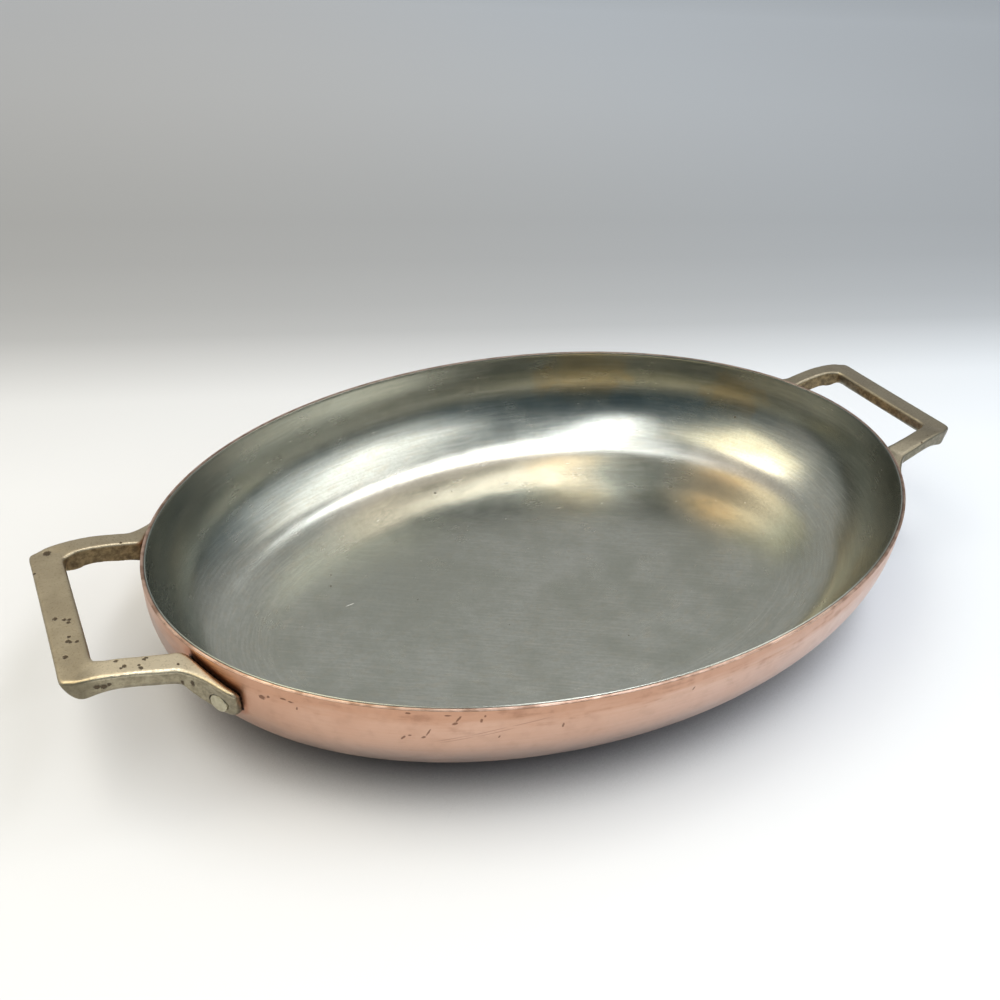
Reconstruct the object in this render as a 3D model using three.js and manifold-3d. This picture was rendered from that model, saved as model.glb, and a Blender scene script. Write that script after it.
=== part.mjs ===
// Oval gratin pan: a copper body lined inside, with two cast handles, each held to the wall by two rivets.
// Millimetres, +Z up. The origin is the middle of the underside, and the long axis lies along X.
import * as THREE from "three";
import { mergeVertices } from "three/addons/utils/BufferGeometryUtils.js";
import Module from "manifold-3d";

const wasm = await Module();
wasm.setup();

// The pan
const RIM_LENGTH = 350; // outside, along X
const RIM_WIDTH = 240; // outside, along Y
const PAN_HEIGHT = 56.5; // underside to the cut rim
const TURN_RADIUS = 49; // the round between wall and base, in a section square to the wall
const COPPER_THICKNESS = 1.3;
const BOND_GAP = 0.1; // between the copper and its lining
const LINING_THICKNESS = 0.6;

// The handles, heights measured from the rim
const GRIP_REACH = 34.8; // from the end of the rim to the grip's outer face
const GRIP_WIDTH = 11.7;
const GRIP_SPAN = 74.2; // outside, along Y
const GRIP_TOP = 2.1; // the edge toward the pan, above the rim
const GRIP_TILT = 0.3; // how much lower the outer edge is
const GRIP_FACE = 4.7; // height of the face toward the pan
const GRIP_BELLY = 8.6; // from the top down to the lowest line
const BELLY_SHARE = 0.55; // of the width, from the inner edge to the lowest line
const GRIP_CORNER = 2.6; // radius of the outer corners, seen from above
const WINDOW_CORNER = 2.4; // radius of the finger gap's corners
const CORNER_RUN = 9; // the grip's straight middle ends this far before its corners
const ARM_WIDTH = 6.8; // at the grip
const ROOT_WIDTH = 9.2; // at the wall
const ARM_SPREAD = 2.7; // how far an arm's inner side moves outward from grip to wall
const FOOT_THICKNESS = 4.3; // at the rivet
const TIP_THICKNESS = 3.2;
const FOOT_BOTTOM = 21.2; // the foot's lower edge below the rim
const FOOT_REACH = 7; // from the rivet to the foot's tip, along the wall
const EDGE_BEVEL = 0.9;
const WALL_GROOVE = 1.2; // between the wall and the top's inner edge of the foot
const SEAT_GAP = 0.3; // between a handle or rivet and what it seats on

// The rivets
const RIVET_SPREAD = 96; // between the two rivets of a handle, along Y
const RIVET_DROP = 14.8; // the rivet's centre below the rim
const HEAD_RADIUS = 3.4;
const HEAD_PROUD = 0.3; // how far the head stands out of the foot
const HEAD_SUNK = 0.9; // how far it is let in
const SHANK_RADIUS = 2.4;
const FLARE_RADIUS = 3.3; // the hammered end, flush inside the copper

// How finely the round shapes are divided
const OVAL_STEPS = 96;
const TURN_STEPS = 9;
const SECTION_STEPS = 3;
const BELLY_STEPS = 3;
const RIVET_STEPS = 24;

const rimEnd = RIM_LENGTH / 2;
const rimSide = RIM_WIDTH / 2;
const gripOut = rimEnd + GRIP_REACH;
const gripIn = gripOut - GRIP_WIDTH;
const gripHalf = GRIP_SPAN / 2;
const windowHalf = gripHalf - ARM_WIDTH;
const rootInner = windowHalf + ARM_SPREAD;
const rootOuter = rootInner + ROOT_WIDTH;
const rivetSide = RIVET_SPREAD / 2;

// Solids

function solid(geometry) {
  const bare = geometry.index ? geometry.toNonIndexed() : geometry.clone();
  bare.deleteAttribute("normal");
  bare.deleteAttribute("uv");
  const merged = mergeVertices(bare, 1e-4);
  return new wasm.Manifold(
    new wasm.Mesh({
      numProp: 3,
      vertProperties: merged.attributes.position.array,
      triVerts: new Uint32Array(merged.index.array),
    }),
  );
}

function geometryOf(body) {
  const mesh = body.getMesh();
  return new THREE.BufferGeometry()
    .setAttribute("position", new THREE.BufferAttribute(mesh.vertProperties, 3))
    .setIndex(new THREE.BufferAttribute(mesh.triVerts, 1));
}

// The same geometry on the other side of the XZ plane, with its faces still pointing out.
function mirrored(geometry) {
  const bare = geometry.index ? geometry.toNonIndexed() : geometry.clone();
  bare.applyMatrix4(new THREE.Matrix4().makeScale(1, -1, 1));
  const points = bare.attributes.position.array;
  for (let i = 0; i < points.length; i += 9) {
    for (let k = 0; k < 3; k++) {
      const second = points[i + 3 + k];
      points[i + 3 + k] = points[i + 6 + k];
      points[i + 6 + k] = second;
    }
  }
  return bare;
}

// A closed body through rings of equal count, with a fan from the middle over the first and the last ring.
function loft(rings) {
  const count = rings[0].length;
  const corner = (ring, i) => ring * count + (i % count);
  const points = rings.flat();
  const faces = [];
  for (let ring = 0; ring + 1 < rings.length; ring++) {
    for (let i = 0; i < count; i++) {
      faces.push(corner(ring, i), corner(ring, i + 1), corner(ring + 1, i + 1));
      faces.push(corner(ring, i), corner(ring + 1, i + 1), corner(ring + 1, i));
    }
  }
  const last = rings.length - 1;
  for (const ring of [0, last]) {
    const middle = points.length;
    const sum = rings[ring].reduce((total, point) => total.add(point), new THREE.Vector3());
    points.push(sum.divideScalar(count));
    for (let i = 0; i < count; i++) {
      if (ring === 0) faces.push(middle, corner(0, i + 1), corner(0, i));
      else faces.push(middle, corner(last, i), corner(last, i + 1));
    }
  }
  return new THREE.BufferGeometry().setFromPoints(points).setIndex(faces);
}

// The oval pan

// A point of the rim's outline moved out along its normal, at ellipse angle t.
function ovalPoint(t, out) {
  const normal = new THREE.Vector2(rimSide * Math.cos(t), rimEnd * Math.sin(t)).normalize();
  return new THREE.Vector2(rimEnd * Math.cos(t), rimSide * Math.sin(t)).addScaledVector(normal, out);
}

// The same, found by its distance from the long axis.
function wallPoint(y, out) {
  return ovalPoint(Math.asin(y / rimSide), out);
}

// The section of a skin that lies depth inside the copper's outer face: [inset, height] from the base up to the rim.
function skinProfile(depth) {
  const radius = TURN_RADIUS - depth;
  const turnRise = Math.min(TURN_RADIUS, PAN_HEIGHT);
  const outerSweep = Math.acos(1 - turnRise / TURN_RADIUS);
  const reach = TURN_RADIUS * Math.sin(outerSweep);
  const sweep = Math.acos((TURN_RADIUS - turnRise) / radius);
  const profile = [];
  for (let i = 0; i <= TURN_STEPS; i++) {
    const angle = (sweep * i) / TURN_STEPS;
    profile.push([reach - radius * Math.sin(angle), TURN_RADIUS - radius * Math.cos(angle)]);
  }
  if (PAN_HEIGHT > TURN_RADIUS) profile.push([depth, PAN_HEIGHT]);
  return profile;
}

// A closed body through level oval rings, each given as [inset, height].
function ovalLoft(levels) {
  return loft(
    levels.map(([inset, height]) =>
      Array.from({ length: OVAL_STEPS }, (_, i) => {
        const point = ovalPoint((2 * Math.PI * i) / OVAL_STEPS, -inset);
        return new THREE.Vector3(point.x, point.y, height);
      }),
    ),
  );
}

// An open pan between two skins.
function panShell(outerDepth, innerDepth) {
  return ovalLoft([...skinProfile(outerDepth), ...skinProfile(innerDepth).reverse()]);
}

// All the space inside a skin, and above it as high as the handles reach.
function panSpace(depth) {
  const profile = skinProfile(depth);
  const [inset] = profile[profile.length - 1];
  return ovalLoft([...profile, [inset, PAN_HEIGHT + GRIP_BELLY]]);
}

// The handles, drawn for the +X end

// A point given in plan, at a height measured up from the rim.
function above(x, y, height) {
  return new THREE.Vector3(x, y, PAN_HEIGHT + height);
}

// How far the wall has turned inward at a height measured from the rim.
function wallInset(height) {
  const fall = Math.max(TURN_RADIUS - PAN_HEIGHT - height, 0);
  return TURN_RADIUS - Math.sqrt(TURN_RADIUS ** 2 - fall ** 2);
}

// A point out from the wall's own face, at side y and a height measured from the rim.
function besideWall(y, out, height) {
  const point = wallPoint(y, out - wallInset(height));
  return above(point.x, point.y, height);
}

// A section of the grip, at distances from the pan's long axis for its inner and outer edge.
function gripSection(inner, outer) {
  return [
    above(gripIn, inner, GRIP_TOP),
    above(gripOut, outer, GRIP_TOP - GRIP_TILT),
    above(gripOut - 0.5, outer, GRIP_TOP - GRIP_TILT - 1.7),
    above(gripIn + BELLY_SHARE * GRIP_WIDTH, (inner + outer) / 2, GRIP_TOP - GRIP_BELLY),
    above(gripIn, inner, GRIP_TOP - GRIP_FACE),
  ];
}

// The section that swings round the corner, by the share of the quarter turn it has done. Its outer side grows
// from the round flank of the grip to the upright end face that shows the grip's round belly in profile.
function cornerSection(share) {
  const angle = (share * Math.PI) / 2;
  const innerX = gripIn - WINDOW_CORNER * (1 - Math.cos(angle));
  const innerY = windowHalf - WINDOW_CORNER * (1 - Math.sin(angle));
  const outerX = gripOut - GRIP_CORNER * (1 - Math.cos(angle));
  const outerY = gripHalf - GRIP_CORNER * (1 - Math.sin(angle));
  return [
    above(innerX, innerY, GRIP_TOP),
    above(outerX, outerY, GRIP_TOP - GRIP_TILT),
    above(outerX - 0.5, outerY, GRIP_TOP - GRIP_TILT - 1.7 - 4.6 * share ** 2),
    above(
      THREE.MathUtils.lerp(innerX, outerX, BELLY_SHARE),
      THREE.MathUtils.lerp(innerY, outerY, BELLY_SHARE),
      GRIP_TOP - GRIP_BELLY,
    ),
    above(innerX, innerY, GRIP_TOP - GRIP_FACE - 2.8 * share),
  ];
}

// A section of the arm, by the shares of its length that its inner and outer edge have run from grip to wall,
// with the heights of its top's two edges, of the outer side's lower end and of its lowest line.
function armSection(innerShare, outerShare, topInner, topOuter, sideEnd, lowest) {
  const wallX = wallPoint(rootInner, 0).x;
  const innerX = THREE.MathUtils.lerp(gripIn, wallX, innerShare);
  const outerX = THREE.MathUtils.lerp(gripOut, wallX, outerShare);
  const inner = windowHalf + ARM_SPREAD * (1 - (1 - innerShare) ** 2.4);
  const outer = THREE.MathUtils.lerp(gripHalf + 0.2, rootOuter, 1 - (1 - outerShare) ** 1.6);
  return [
    above(innerX, inner, topInner),
    above(outerX, outer, topOuter),
    above(outerX, outer, sideEnd),
    above((innerX + outerX) / 2, (inner + outer) / 2, lowest),
    above(innerX, inner, lowest + 0.5),
  ];
}

// A section of the foot, square to the wall: the distances from the long axis of its inner and outer edge, how far
// its outer side stands out from the wall, the heights of the top's two edges and the height of its lowest line.
function footSection(inner, outer, thickness, topInner, topOuter, lowest) {
  return [
    besideWall(inner, WALL_GROOVE, topInner),
    besideWall(outer, thickness, topOuter),
    besideWall(outer, thickness - 0.2, lowest + 2.4),
    besideWall((inner + outer) / 2, 0.4 * thickness, lowest),
    besideWall(inner, -1.5, lowest),
  ];
}

// The sections of one side, from the middle of the grip to the foot's tip. Each holds five corners: top inner,
// top outer, the lower end of the outer side, the lowest line and the lower end of the inner side.
function sections() {
  const slant = wallPoint(rivetSide, 1).x - wallPoint(rivetSide, 0).x;
  const heel = (share) => THREE.MathUtils.lerp(rootInner, rivetSide, share);
  const foot = (distance, thickness, top, lift) => {
    const side = rivetSide + slant * distance;
    return footSection(side, side, thickness, top, top - 0.1, lift - FOOT_BOTTOM);
  };
  return [
    gripSection(0, 0),
    gripSection(windowHalf - CORNER_RUN, gripHalf - CORNER_RUN),
    ...[0, 0.5, 1].map(cornerSection),
    armSection(0.15, 0.14, 2.2, 2.1, -6, -6.7),
    armSection(0.24, 0.24, 2.1, 2.4, -4.7, -6.4),
    armSection(0.34, 0.37, 1.8, 2.1, -3.4, -6.5),
    armSection(0.48, 0.52, 1, 1.4, -3.8, -7.4),
    armSection(0.64, 0.67, 0.1, 0, -5, -8.9),
    armSection(0.8, 0.8, -1, -1.4, -6.3, -10.2),
    armSection(0.92, 0.875, -1.8, -2.2, -7.6, -11.6),
    footSection(heel(0.06), heel(0.44), 7.4, -2.4, -2.8, -13.2),
    footSection(heel(0.2), heel(0.55), 6.3, -2.6, -3.5, -16),
    footSection(heel(0.42), heel(0.69), 5.4, -3.2, -4.3, -18.2),
    footSection(heel(0.7), heel(0.84), 4.7, -4.4, -5.1, -19.8),
    foot(0, FOOT_THICKNESS, -5.9, 0.6),
    foot(0.4 * FOOT_REACH, FOOT_THICKNESS - 0.2, -6.7, 0),
    foot(0.7 * FOOT_REACH, FOOT_THICKNESS - 0.5, -7.2, 0.8),
    foot(0.9 * FOOT_REACH, TIP_THICKNESS + 0.3, -7.8, 3.2),
    foot(FOOT_REACH, TIP_THICKNESS, -8.7, 6.6),
  ];
}

// Toward another point by a length.
function toward(from, to, length) {
  return to.clone().sub(from).setLength(length).add(from);
}

// A section's ring: bevelled at the top, round below.
function sectionRing([topInner, topOuter, outerEnd, lowest, innerEnd]) {
  const between = (end, flatness) => {
    const middle = end.clone().lerp(lowest, 0.5);
    return new THREE.Vector3(end.x, end.y, lowest.z).lerp(middle, flatness);
  };
  const outerRound = new THREE.QuadraticBezierCurve3(outerEnd, between(outerEnd, 0.35), lowest);
  const innerRound = new THREE.QuadraticBezierCurve3(lowest, between(innerEnd, 0.6), innerEnd);
  return [
    toward(topInner, innerEnd, EDGE_BEVEL),
    toward(topInner, topOuter, EDGE_BEVEL),
    topInner.clone().lerp(topOuter, 0.5),
    toward(topOuter, topInner, EDGE_BEVEL),
    toward(topOuter, outerEnd, EDGE_BEVEL),
    ...outerRound.getPoints(BELLY_STEPS),
    ...innerRound.getPoints(BELLY_STEPS).slice(1),
  ];
}

// A whole handle, lofted from one foot's tip through the grip to the other.
function handleCasting() {
  const side = sections();
  const across = (point) => new THREE.Vector3(point.x, -point.y, point.z);
  const both = [...side.slice(1).reverse().map((section) => section.map(across)), ...side];
  const rails = side[0].map(
    (_, k) => new THREE.CatmullRomCurve3(both.map((section) => section[k]), false, "centripetal"),
  );
  const steps = (both.length - 1) * SECTION_STEPS;
  const sectionAt = (share) => rails.map((rail) => rail.getPoint(share));
  return loft(Array.from({ length: steps + 1 }, (_, i) => sectionRing(sectionAt(i / steps))));
}

// The frame of a rivet: X along the wall toward the foot's tip, Y up, Z straight out of the wall.
function rivetFrame() {
  const seat = besideWall(rivetSide, 0, -RIVET_DROP);
  const out = besideWall(rivetSide, 1, -RIVET_DROP).sub(seat);
  const frame = new THREE.Matrix4().makeBasis(
    new THREE.Vector3(-out.y, out.x, 0),
    new THREE.Vector3(0, 0, 1),
    new THREE.Vector3(out.x, out.y, 0),
  );
  return frame.setPosition(seat);
}

// A turned body about a rivet's axis: pairs of [radius, distance out from the rim's outline].
function rivetTurning(profile) {
  const points = profile.map(([radius, out]) => new THREE.Vector2(radius, out));
  return new THREE.LatheGeometry(points, RIVET_STEPS)
    .rotateX(Math.PI / 2)
    .applyMatrix4(rivetFrame());
}

const footFace = FOOT_THICKNESS - 0.4; // the foot's slightly leaning face, at the rivet
const headSeat = footFace - HEAD_SUNK;
const rivetInside = -2 * COPPER_THICKNESS - 2; // past the copper, before it is cut flush
const rivetOutside = 3 * ROOT_WIDTH; // past the foot

function rivetProfile() {
  return [
    [0, rivetInside],
    [FLARE_RADIUS, rivetInside],
    [FLARE_RADIUS, -COPPER_THICKNESS],
    [SHANK_RADIUS, SEAT_GAP],
    [SHANK_RADIUS, headSeat],
    [HEAD_RADIUS, headSeat],
    [HEAD_RADIUS, footFace + 0.3 * HEAD_PROUD],
    [0.8 * HEAD_RADIUS, footFace + HEAD_PROUD],
    [0, footFace + HEAD_PROUD],
  ];
}

// The hole that a rivet needs: its own shape with a gap all round.
function rivetHole() {
  return [
    [0, rivetInside - 1],
    [FLARE_RADIUS + SEAT_GAP, rivetInside - 1],
    [FLARE_RADIUS + SEAT_GAP, -COPPER_THICKNESS + SEAT_GAP],
    [SHANK_RADIUS + SEAT_GAP, 2 * SEAT_GAP],
    [SHANK_RADIUS + SEAT_GAP, headSeat - SEAT_GAP],
    [HEAD_RADIUS + SEAT_GAP, headSeat - SEAT_GAP],
    [HEAD_RADIUS + SEAT_GAP, rivetOutside],
    [0, rivetOutside],
  ];
}

// The finishes

const copper = new THREE.MeshStandardMaterial({ color: 0xc98a72, roughness: 0.35, metalness: 1 });
const lining = new THREE.MeshStandardMaterial({ color: 0x9d9d96, roughness: 0.32, metalness: 1 });
const castBrass = new THREE.MeshStandardMaterial({ color: 0xa09272, roughness: 0.42, metalness: 1 });
const rivetBrass = new THREE.MeshStandardMaterial({ color: 0xb5a983, roughness: 0.38, metalness: 1 });

function piece(name, geometry, material) {
  const mesh = new THREE.Mesh(geometry, material);
  mesh.name = name;
  return mesh;
}

// The assembly

const hole = rivetTurning(rivetHole());
const handleHoles = solid(hole).add(solid(mirrored(hole)));
const pan = new THREE.Group();

const halfTurn = (geometry) => geometry.clone().rotateZ(Math.PI);
let body = solid(panShell(0, COPPER_THICKNESS));
for (const cut of [hole, mirrored(hole)]) {
  body = body.subtract(solid(cut)).subtract(solid(halfTurn(cut)));
}
pan.add(piece("copper_body", geometryOf(body), copper));
pan.add(
  piece(
    "inner_lining",
    panShell(COPPER_THICKNESS + BOND_GAP, COPPER_THICKNESS + BOND_GAP + LINING_THICKNESS),
    lining,
  ),
);

const handle = solid(handleCasting())
  .subtract(solid(panSpace(-SEAT_GAP)))
  .subtract(handleHoles);
const flushCut = solid(panSpace(COPPER_THICKNESS + BOND_GAP - SEAT_GAP));
const rivet = geometryOf(solid(rivetTurning(rivetProfile())).subtract(flushCut));

for (const [side, angle] of [["right", 0], ["left", Math.PI]]) {
  const end = new THREE.Group();
  end.rotation.z = angle;
  end.add(piece(`handle_${side}`, geometryOf(handle), castBrass));
  // The half turn also swaps front and back.
  const [farName, nearName] = side === "right" ? ["back", "front"] : ["front", "back"];
  end.add(piece(`rivet_${side}_${farName}`, rivet.clone(), rivetBrass));
  end.add(piece(`rivet_${side}_${nearName}`, mirrored(rivet), rivetBrass));
  pan.add(end);
}

export default pan;
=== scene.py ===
"""Oval copper gratin pan with a pale lining and two cast handles.

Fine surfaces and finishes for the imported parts, and the studio that they stand in.
"""

import math
from functools import reduce

import bpy
import numpy as np
from mathutils import Matrix, Vector
from mathutils.bvhtree import BVHTree


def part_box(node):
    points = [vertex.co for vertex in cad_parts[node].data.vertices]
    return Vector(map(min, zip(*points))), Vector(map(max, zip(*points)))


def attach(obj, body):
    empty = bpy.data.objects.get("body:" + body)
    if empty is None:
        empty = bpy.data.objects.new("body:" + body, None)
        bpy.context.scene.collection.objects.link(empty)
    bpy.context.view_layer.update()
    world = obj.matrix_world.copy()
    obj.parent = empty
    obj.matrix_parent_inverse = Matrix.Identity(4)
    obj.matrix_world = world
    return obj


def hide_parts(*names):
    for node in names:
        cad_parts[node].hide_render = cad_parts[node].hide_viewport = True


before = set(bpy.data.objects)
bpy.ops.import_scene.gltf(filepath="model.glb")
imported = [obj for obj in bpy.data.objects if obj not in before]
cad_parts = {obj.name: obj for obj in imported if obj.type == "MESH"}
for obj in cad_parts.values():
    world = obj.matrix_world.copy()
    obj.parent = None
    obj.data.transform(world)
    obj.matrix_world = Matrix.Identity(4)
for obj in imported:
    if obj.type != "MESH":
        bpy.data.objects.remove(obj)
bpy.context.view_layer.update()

# Sizes of the pan, in metres
MM = 0.001
_, body_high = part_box("copper_body")
_, lining_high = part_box("inner_lining")
RIM_END = body_high.x
RIM_SIDE = body_high.y
PAN_HEIGHT = body_high.z
LINING_DEPTH = body_high.x - lining_high.x
COPPER_THICKNESS = 1.3 * MM
LINING_THICKNESS = 0.6 * MM
TURN_RADIUS = 49 * MM
RIM_OUTER_ROUND = 0.3 * MM
RIM_INNER_ROUND = 0.12 * MM

# Sizes of the castings and rivets, in metres
WINDOW_MIDDLE = 187 * MM
RIVET_SIDE = 48 * MM
RIVET_HEIGHT = PAN_HEIGHT - 14.8 * MM
FOOT_FACE = 3.9 * MM
SHANK_RADIUS = 2.3 * MM
SHANK_START = 0.5 * MM
HEAD_RADIUS = 3.62 * MM
HEAD_SUNK_MIDDLE = 1.0 * MM
HEAD_SUNK_EDGE = 0.85 * MM
HEAD_STAND = 0.05 * MM
HEAD_ROUND_IN = 0.9 * MM
HEAD_ROUND_OUT = 0.3 * MM
HEAD_CROWN = 0.4 * MM
HEAD_CROWN_SHARE = 0.4
RIVET_SHARP_ANGLE = math.radians(50)

# How finely the round shapes are divided
OVAL_STEPS = 480
TURN_STEPS = 56
WALL_STEPS = 5
ROUND_STEPS = 4
RIVET_STEPS = 48
HEAD_STEPS = 6
BASE_SHARES = (0.04, 0.16, 0.32, 0.48, 0.64, 0.82)
BASE_RINGS = len(BASE_SHARES)

# How far the castings' edges are rounded
CAST_VOXEL = 0.45 * MM
CAST_ROUNDING = 0.5
CAST_PASSES = 7


# Shells


def oval_ring(inset, height):
    """A level ring of the pan, moved square inward from the rim's outline."""
    turn = np.arange(OVAL_STEPS) * 2 * math.pi / OVAL_STEPS
    across = RIM_SIDE * np.cos(turn)
    along = RIM_END * np.sin(turn)
    length = np.hypot(across, along)
    x = RIM_END * np.cos(turn) - inset * across / length
    y = RIM_SIDE * np.sin(turn) - inset * along / length
    return np.stack([x, y, np.full(OVAL_STEPS, height)], 1)


def quarter(steps):
    """The angles of a quarter turn in even steps, from 0 on."""
    return [math.pi / 2 * step / steps for step in range(steps + 1)]


def skin(depth, top):
    """The section of a face that lies depth inside the copper's outer face, from the base up to top."""
    radius = TURN_RADIUS - depth
    points = []
    for angle in quarter(TURN_STEPS):
        points.append((TURN_RADIUS - radius * math.sin(angle), TURN_RADIUS - radius * math.cos(angle)))
    for step in range(1, WALL_STEPS + 1):
        points.append((depth, TURN_RADIUS + (top - TURN_RADIUS) * step / WALL_STEPS))
    return points


def shell_section(outer, inner, outer_round, inner_round):
    """The closed section of a shell: up its outer face, over the cut rim, and down its inner face.

    The points of the inner rounding run from the inner face up, which leaves a fold of 0.1 mm on the rim.
    """
    section = skin(outer, PAN_HEIGHT - outer_round)
    for angle in quarter(ROUND_STEPS)[1:]:
        inset = outer + outer_round * (1 - math.cos(angle))
        section.append((inset, PAN_HEIGHT - outer_round * (1 - math.sin(angle))))
    for angle in quarter(ROUND_STEPS)[:0:-1]:
        inset = inner - inner_round * (1 - math.sin(angle))
        section.append((inset, PAN_HEIGHT - inner_round * (1 - math.cos(angle))))
    return section + skin(inner, PAN_HEIGHT - inner_round)[::-1]


def base_rings(ring):
    """Rings across the flat base, from near its middle out to the start of the round."""
    return [ring * np.array([share, share, 1]) for share in BASE_SHARES]


def band(low, high, steps):
    """The faces between two rings of points, given by their first points' numbers."""
    faces = []
    for step in range(steps):
        after = (step + 1) % steps
        faces.append((low + step, low + after, high + after, high + step))
    return faces


def cap(first, steps):
    """The face that fills a ring of points."""
    return tuple(range(first, first + steps))


def link(name, data):
    """A new object in the scene."""
    made = bpy.data.objects.new(name, data)
    bpy.context.scene.collection.objects.link(made)
    return made


def mesh_object(name, points, faces):
    mesh = bpy.data.meshes.new(name)
    mesh.from_pydata([tuple(point) for point in points], [], faces)
    mesh.validate()
    mesh.update()
    return link(name, mesh)


def shell(name, outer, inner, outer_round, inner_round):
    """One of the pan's two skins as a closed body, and the run at which its inner flat base begins.

    Its map goes once round the oval in u, and in v along the section, which is the run in metres.
    """
    section = shell_section(outer, inner, outer_round, inner_round)
    rings = [oval_ring(inset, height) for inset, height in section]
    rings = base_rings(rings[0]) + rings + base_rings(rings[-1])[::-1]
    side = OVAL_STEPS // 4
    run = [0.0]
    for one, two in zip(rings, rings[1:]):
        run.append(run[-1] + float(np.linalg.norm(two[side] - one[side])))
    share = [step / OVAL_STEPS for step in range(OVAL_STEPS + 1)]
    faces = []
    turns = []
    for ring in range(len(rings) - 1):
        faces += band(ring * OVAL_STEPS, (ring + 1) * OVAL_STEPS, OVAL_STEPS)
        low, high = run[ring], run[ring + 1]
        for one, two in zip(share, share[1:]):
            turns += [(one, low), (two, low), (two, high), (one, high)]
    faces.append(cap(0, OVAL_STEPS)[::-1])
    turns += [(turn, 0.0) for turn in share[-2::-1]]
    faces.append(cap((len(rings) - 1) * OVAL_STEPS, OVAL_STEPS))
    turns += [(turn, run[-1]) for turn in share[:-1]]
    made = mesh_object(name, np.concatenate(rings), faces)
    layer = made.data.uv_layers.new(name="oval")
    layer.data.foreach_set("uv", np.array(turns, np.float32).ravel())
    made.data.shade_smooth()
    return made, run[-1 - BASE_RINGS]


# Castings and rivets


def softened(name, node):
    """A casting with the slightly rounded edges of cast and dressed metal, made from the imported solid."""
    rough = link(name + "_rough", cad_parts[node].data.copy())
    remesh = rough.modifiers.new("even skin", "REMESH")
    remesh.mode = "VOXEL"
    remesh.voxel_size = CAST_VOXEL
    remesh.use_smooth_shade = True
    rounding = rough.modifiers.new("rounded edges", "SMOOTH")
    rounding.factor = CAST_ROUNDING
    rounding.iterations = CAST_PASSES
    bpy.context.view_layer.update()
    evaluated = rough.evaluated_get(bpy.context.evaluated_depsgraph_get())
    mesh = bpy.data.meshes.new_from_object(evaluated)
    bpy.data.objects.remove(rough)
    mesh.name = name
    return link(name, mesh)


def wall_point(y, out):
    """A point of the rim's outline at y on the +X end, moved out square to it, and the way outward."""
    turn = math.asin(y / RIM_SIDE)
    normal = Vector((RIM_SIDE * math.cos(turn), RIM_END * math.sin(turn), 0)).normalized()
    return Vector((RIM_END * math.cos(turn), y, 0)) + normal * out, normal


def wall_inset(height):
    """How far the wall has turned inward at a height."""
    fall = max(TURN_RADIUS - height, 0)
    return TURN_RADIUS - math.sqrt(TURN_RADIUS ** 2 - fall ** 2)


def rivet_profile():
    """The rivet's rings as radius and reach out of the wall, from the shank's inner end to the crown."""
    profile = [
        (SHANK_RADIUS, SHANK_START),
        (SHANK_RADIUS, FOOT_FACE - HEAD_SUNK_MIDDLE),
        (HEAD_RADIUS, FOOT_FACE - HEAD_SUNK_EDGE),
    ]
    for angle in quarter(HEAD_STEPS):
        radius = HEAD_RADIUS - HEAD_ROUND_IN * (1 - math.cos(angle))
        profile.append((radius, FOOT_FACE + HEAD_STAND + HEAD_ROUND_OUT * math.sin(angle)))
    profile.append((HEAD_CROWN_SHARE * HEAD_RADIUS, FOOT_FACE + HEAD_CROWN))
    return profile


def rivet(name, end, side):
    """A rivet with its head dressed nearly flush; end is +1 or -1 along X, side +1 or -1 along Y."""
    seat, out = wall_point(RIVET_SIDE, -wall_inset(RIVET_HEIGHT))
    seat.z = RIVET_HEIGHT
    along = Vector((-out.y, out.x, 0))
    up = Vector((0, 0, 1))
    points = []
    for radius, reach in rivet_profile():
        for step in range(RIVET_STEPS):
            angle = 2 * math.pi * step / RIVET_STEPS
            spot = seat + out * reach + (along * math.cos(angle) + up * math.sin(angle)) * radius
            points.append((spot.x * end, spot.y * side, spot.z))
    last = len(points) - RIVET_STEPS
    faces = []
    for low in range(0, last, RIVET_STEPS):
        faces += band(low, low + RIVET_STEPS, RIVET_STEPS)
    faces += [cap(0, RIVET_STEPS)[::-1], cap(last, RIVET_STEPS)]
    if end * side < 0:
        faces = [face[::-1] for face in faces]
    made = mesh_object(name, points, faces)
    made.data.shade_smooth()
    made.data.set_sharp_from_angle(angle=RIVET_SHARP_ANGLE)
    return made


# Shader sums


class Value:
    """A socket of a node tree, with sums on it written as Python."""

    def __init__(self, finish, socket):
        self.finish = finish
        self.socket = socket

    def sum(self, operation, *values):
        return self.finish.node("ShaderNodeMath", {"operation": operation}, dict(enumerate(values)))

    def __add__(self, other):
        return self.sum("ADD", self, other)

    def __sub__(self, other):
        return self.sum("SUBTRACT", self, other)

    def __rsub__(self, other):
        return self.sum("SUBTRACT", other, self)

    def __mul__(self, other):
        return self.sum("MULTIPLY", self, other)

    def __truediv__(self, other):
        return self.sum("DIVIDE", self, other)

    def __pow__(self, other):
        return self.sum("POWER", self, other)

    def absolute(self):
        return self.sum("ABSOLUTE", self)

    def cosine(self):
        return self.sum("COSINE", self)

    def sine(self):
        return self.sum("SINE", self)

    def least(self, other):
        return self.sum("MINIMUM", self, other)

    def most(self, other):
        return self.sum("MAXIMUM", self, other)

    def stirred(self, noise, amount):
        """The value made uneven by a noise that is 0.5 on average."""
        return self + (noise - 0.5) * amount

    def smooth(self, low, high, to_low=0.0, to_high=1.0):
        """A soft step from to_low at low to to_high at high; low may be the greater."""
        return self.finish.node(
            "ShaderNodeMapRange",
            {"interpolation_type": "SMOOTHSTEP"},
            {"Value": self, "From Min": low, "From Max": high, "To Min": to_low, "To Max": to_high},
        )


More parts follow.
